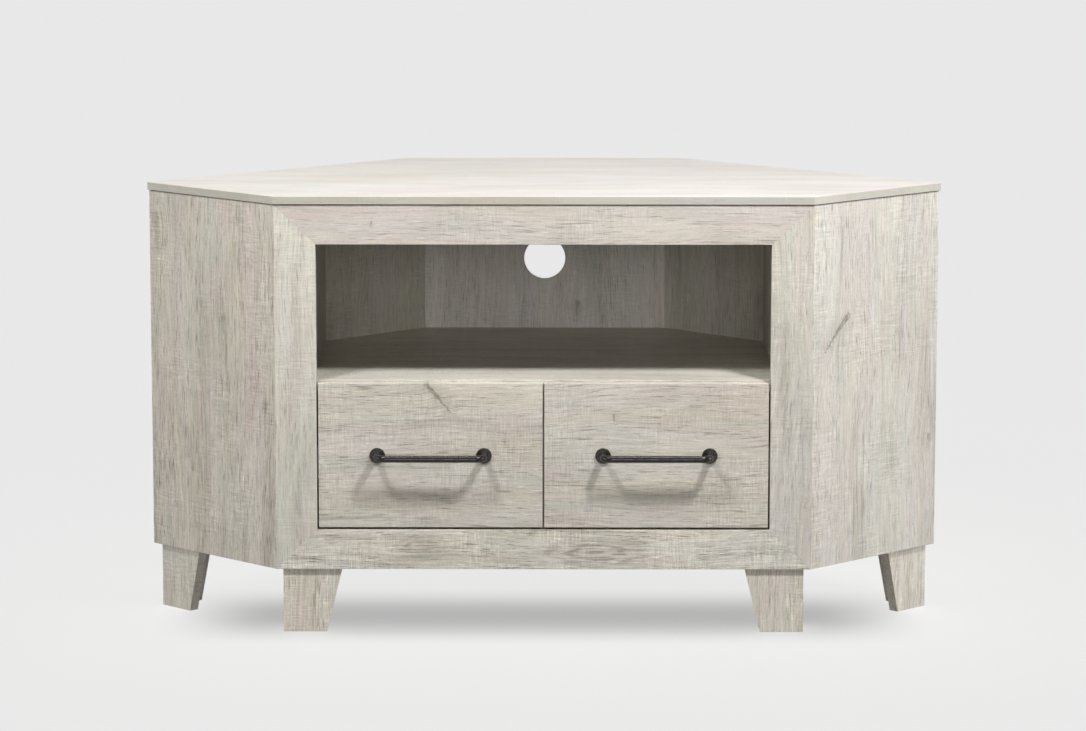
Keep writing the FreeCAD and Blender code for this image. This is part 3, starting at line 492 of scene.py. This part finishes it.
# The tints are partly each board's own tone and partly painted light: they lift the stiles, drawer
# fronts, bottom rail and front legs, which the lamps light less, and dim the top.
# Each look: the tint, streaks, figure and warmth go to the oak group, and gloss lowers its
# roughness.
# knots: (point in the row frame, angle from the grain, length, width, darkness)
# arches: (point in the row frame, reach along the grain, reach across it, darkness)
LOOKS = {
    "top_panel": {"tint": (0.865, 0.865, 0.935), "streaks": 0.12, "figure": 0.35, "gloss": -0.25},
    "frame_top_rail": {
        "tint": (0.98, 0.935, 0.975),
        "streaks": 0.7,
        "warmth": 0.02,
        "knots": [(at("frame_top_rail", 0.18, 0, 0.5), 85, 0.006, 0.002, 0.6)],
    },
    "frame_bottom_rail": {
        "tint": (1.16, 1.14, 1.15),
        "streaks": 2.2,
        "figure": 1.8,
        "arches": [
            (at("frame_bottom_rail", 0.60, 0, 0.42), 0.105, 0.030, 1.0),
            (at("frame_bottom_rail", 0.27, 0, 0.60), 0.060, 0.018, 0.8),
        ],
    },
    "frame_left_stile": {"tint": (1.11, 1.11, 1.13), "streaks": 1.2},
    "frame_right_stile": {"tint": (1.08, 1.07, 1.10), "figure": 1.1},
    "media_shelf": {"tint": (1.14, 1.13, 1.15), "streaks": 0.8, "gloss": 0.14},
    "centre_back_panel": {
        "tint": (1.0, 0.99, 1.03),
        "streaks": 1.3,
        "knots": [(at("centre_back_panel", 0.62, 0, 0.58), 5, 0.012, 0.006, 0.6)],
    },
    "left_side_panel": {
        "tint": (1.01, 0.965, 0.955),
        "streaks": 1.3,
        "figure": 1.5,
        "knots": [(at("left_side_panel", 0.08, 0.92, 0.885), 8, 0.034, 0.012, 0.45)],
        "arches": [(at("left_side_panel", 0.45, 0.55, 0.50), 0.24, 0.030, 0.30)],
    },
    "right_side_panel": {
        "tint": (1.0, 1.0, 1.03),
        "streaks": 1.45,
        "figure": 1.25,
        "warmth": 0.03,
        "knots": [
            (at("right_side_panel", 0.19, 0.19, 0.64), 45, 0.042, 0.007, 0.85),
            (at("right_side_panel", 0.91, 0.91, 0.31), 10, 0.007, 0.004, 0.6),
        ],
    },
    "right_rear_panel": {
        "streaks": 1.1,
        "knots": [(at("right_rear_panel", 0.5, 0.5, 0.5), 5, 0.008, 0.004, 0.6)],
    },
    "left_drawer_front": {
        "tint": (1.08, 1.07, 1.075),
        "streaks": 1.15,
        "figure": 1.3,
        "warmth": 0.05,
        "knots": [(at("left_drawer_front", 0.535, 0, 0.9), 130, 0.032, 0.005, 0.85)],
    },
    "right_drawer_front": {
        "tint": (1.06, 1.03, 1.035),
        "streaks": 0.85,
        "figure": 1.25,
        "warmth": 0.05,
        "knots": [(at("right_drawer_front", 0.31, 0, 0.76), 100, 0.007, 0.003, 0.6)],
    },
}
LEG_LOOK = {"tint": (1.04, 1.03, 1.025), "streaks": 0.9, "figure": 1.3, "warmth": 0.05}
# Painted light: the front legs get a lighter tint than the other legs of the same laminate.
FRONT_LEG_LIT_LOOK = {**LEG_LOOK, "tint": (1.22, 1.20, 1.19)}
SLAB_EDGE_LIGHT = rgb(1.18, 1.18, 1.095)  # painted light: a lighter, warmer tint on the upright edges of the top than on its faces


def leg_axes(name):
    """A leg board's grain is upright; across it is along its wide face."""
    low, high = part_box(name)
    wide_x, wide_y = high.x - low.x, high.y - low.y
    if wide_x > 2 * wide_y:
        return UP, RIGHT
    middle = (low + high) / 2
    inward = middle.x * (middle.y - FRONT_Y)
    return UP, (LEFT_SIDE if inward < 0 else RIGHT_SIDE)


def dress_wood():
    seed = 1
    for name, (grain, across) in BOARDS.items():
        edge_light = SLAB_EDGE_LIGHT if name == "top_panel" else None
        look = LOOKS.get(name, {})
        NODES[name].data.materials[0] = oak(f"washed_oak_{name}", grain, across, seed, look, edge_light)
        seed += 1
    for name in sorted(n for n in NODES if "_leg_" in n and n.endswith("_board")):
        grain, across = leg_axes(name)
        look = FRONT_LEG_LIT_LOOK if "_front_" in name else LEG_LOOK
        NODES[name].data.materials[0] = oak(f"washed_oak_{name}", grain, across, seed, look)
        seed += 1


def dress_rest():
    finishes = {
        "drawer_board": drawer_board(),
        "drawer_base": drawer_base(),
        "block_wood": block_wood(),
        "dark_bronze": dark_bronze(),
        "slide_steel": plated("slide_steel", rgb(0.60, 0.61, 0.62), rgb(0.47, 0.48, 0.50), 0.34, 60),
        "cage_steel": plated("cage_steel", rgb(0.52, 0.52, 0.50), rgb(0.38, 0.38, 0.37), 0.28, 90),
        "zinc": plated("zinc", rgb(0.58, 0.58, 0.55), rgb(0.44, 0.43, 0.40), 0.38, 140),
    }
    for node in NODES.values():
        for slot in range(len(node.data.materials)):
            name = node.data.materials[slot].name.split(".")[0]
            if name in finishes:
                node.data.materials[slot] = finishes[name]


dress_rest()
dress_wood()


# ------------------------------------------------------------------- the stage
FLOOR_HALF = 120.0
SHADE_STARTS, SHADE_FULL = FRONT_Y - 0.10, FRONT_Y + 0.11  # from the front of the cabinet
SHADE_FADES, SHADE_ENDS = FRONT_Y + 0.13, FRONT_Y + 0.34  # towards the middle of its depth
SHADE_INNER, SHADE_OUTER = 0.40, 0.60  # to either side of its middle

KEY_Y, KEY_HEIGHT, KEY_RADIUS = FRONT_Y - 0.9, 2.05, 0.15
KEYS = {"key_left": (-0.85, 96.0), "key_right": (0.85, 150.0)}  # place to the side, power
FILLS = {  # direction, strength, angle in degrees
    "fill_left": ((-1, -0.1, 0.1), 1.78, 50),
    "fill_right": ((1, 0.2, 0.1), 3.9, 50),
    "fill_top": ((0, 0, 1), 1.45, 20),
}
WORLD_LIGHT, WORLD_SEEN = 0.08, 0.87

SENSOR_WIDTH, LENS = 36.0, 132.3968  # in millimetres
CLIP_END = 500.0
CAMERA_PITCH, CAMERA_YAW, CAMERA_ROLL = 0.1491, -0.0035, 0.0006  # in radians
CAMERA_PLACE = (0.0199, FRONT_Y - 5.90287, 1.2940)


def make_floor():
    """A plain pale floor, with a painted shadow under the cabinet in its own material."""
    corners = ((-1, -1), (1, -1), (1, 1), (-1, 1))
    mesh = bpy.data.meshes.new("studio_floor")
    mesh.from_pydata(
        [(x * FLOOR_HALF, y * FLOOR_HALF, 0) for x, y in corners],
        [],
        [(0, 1, 2, 3)],
    )
    floor = bpy.data.objects.new("studio_floor", mesh)
    scene.collection.objects.link(floor)
    made, t, shader = surface("studio_floor", specular=0.0)
    where = t.node("ShaderNodeTexCoord").outputs["Object"]
    x, y, _ = t.split(where)
    # Painted shadow: a soft dark band from just in front of the cabinet to the middle of its depth.
    ahead = t.map(y, SHADE_STARTS, SHADE_FULL)
    behind = t.map(y, SHADE_FADES, SHADE_ENDS, 1.0, 0.0)
    aside = t.map(t.math("ABSOLUTE", x), SHADE_INNER, SHADE_OUTER, 1.0, 0.0)
    shade = t.math("MULTIPLY", t.math("MULTIPLY", ahead, behind), aside)
    cloud = t.noise(where, (3, 3, 3), 2, 0.5)
    plain = t.mix(cloud, rgb(0.493, 0.493, 0.493), rgb(0.497, 0.497, 0.497))
    t.put(shader.inputs["Base Color"], t.mix(shade, plain, rgb(0.29, 0.29, 0.29)))
    shader.inputs["Roughness"].default_value = 1.0
    mesh.materials.append(made)
    floor.visible_diffuse = False
    return floor


def linked(light, name, members, blockers=None):
    """The light shines only on these objects, and only blockers cast its shadows."""
    receivers = bpy.data.collections.new(name + "_receivers")
    for o in members:
        receivers.objects.link(o)
    light.light_linking.receiver_collection = receivers
    if blockers is not None:
        casting = bpy.data.collections.new(name + "_blockers")
        for o in blockers:
            casting.objects.link(o)
        light.light_linking.blocker_collection = casting


def sun(name, direction, strength, degrees):
    data = bpy.data.lights.new(name, "SUN")
    data.energy = strength
    data.angle = math.radians(degrees)
    made = bpy.data.objects.new(name, data)
    made.rotation_euler = Vector(direction).to_track_quat("Z", "Y").to_euler()
    scene.collection.objects.link(made)
    return made


def ball(name, place, power, radius):
    data = bpy.data.lights.new(name, "POINT")
    data.energy = power
    data.shadow_soft_size = radius
    made = bpy.data.objects.new(name, data)
    made.location = place
    scene.collection.objects.link(made)
    return made


def light_stage(floor):
    """Two lamps high in front, soft fill from all round and above, and the floor's own light."""
    cabinet = list(NODES.values())
    for name, (x, power) in KEYS.items():
        linked(ball(name, (x, KEY_Y, KEY_HEIGHT), power, KEY_RADIUS), name, cabinet)
    for name, (direction, strength, degrees) in FILLS.items():
        linked(sun(name, direction, strength, degrees), name, cabinet)
    # The front fill would glare off the top when seen from behind, so it leaves the top out.
    body = [node for name, node in NODES.items() if name != "top_panel"]
    linked(sun("fill_front", (0, -1, 0.05), 1.06, 26), "fill_front", body)
    # The back fill lights only the rear boards and rear legs.
    rear = [node for name, node in NODES.items() if "back_panel" in name or "rear" in name]
    linked(sun("fill_back", (0, 1, 0.2), 1.5, 60), "fill_back", rear)
    linked(sun("floor_light", (0, 0, 1), 4.88, 20), "floor_light", [floor], [floor])
    world = bpy.data.worlds.new("studio")
    world.use_nodes = True
    t = Tree(world.node_tree)
    seen = t.node("ShaderNodeLightPath").outputs["Is Camera Ray"]
    background = world.node_tree.nodes["Background"]
    background.inputs["Color"].default_value = rgb(1, 1, 1)
    # What is seen past the floor is as pale as the floor, and lights less.
    t.put(background.inputs["Strength"], t.map(seen, 0.0, 1.0, WORLD_LIGHT, WORLD_SEEN, False))
    scene.world = world
    scene.view_settings.view_transform = "Standard"


def aim_camera():
    """The photograph's viewing angle: a long lens from the front, looking down."""
    data = bpy.data.cameras.new("camera")
    camera = bpy.data.objects.new("camera", data)
    data.sensor_width = SENSOR_WIDTH
    data.lens = LENS
    data.clip_end = CLIP_END
    level = math.cos(CAMERA_PITCH)
    look = Vector(
        (math.sin(CAMERA_YAW) * level, math.cos(CAMERA_YAW) * level, -math.sin(CAMERA_PITCH))
    )
    turn = look.to_track_quat("-Z", "Y").to_matrix() @ Matrix.Rotation(CAMERA_ROLL, 3, "Z")
    camera.matrix_world = turn.to_4x4()
    camera.location = CAMERA_PLACE
    scene.collection.objects.link(camera)
    scene.camera = camera


aim_camera()
light_stage(make_floor())
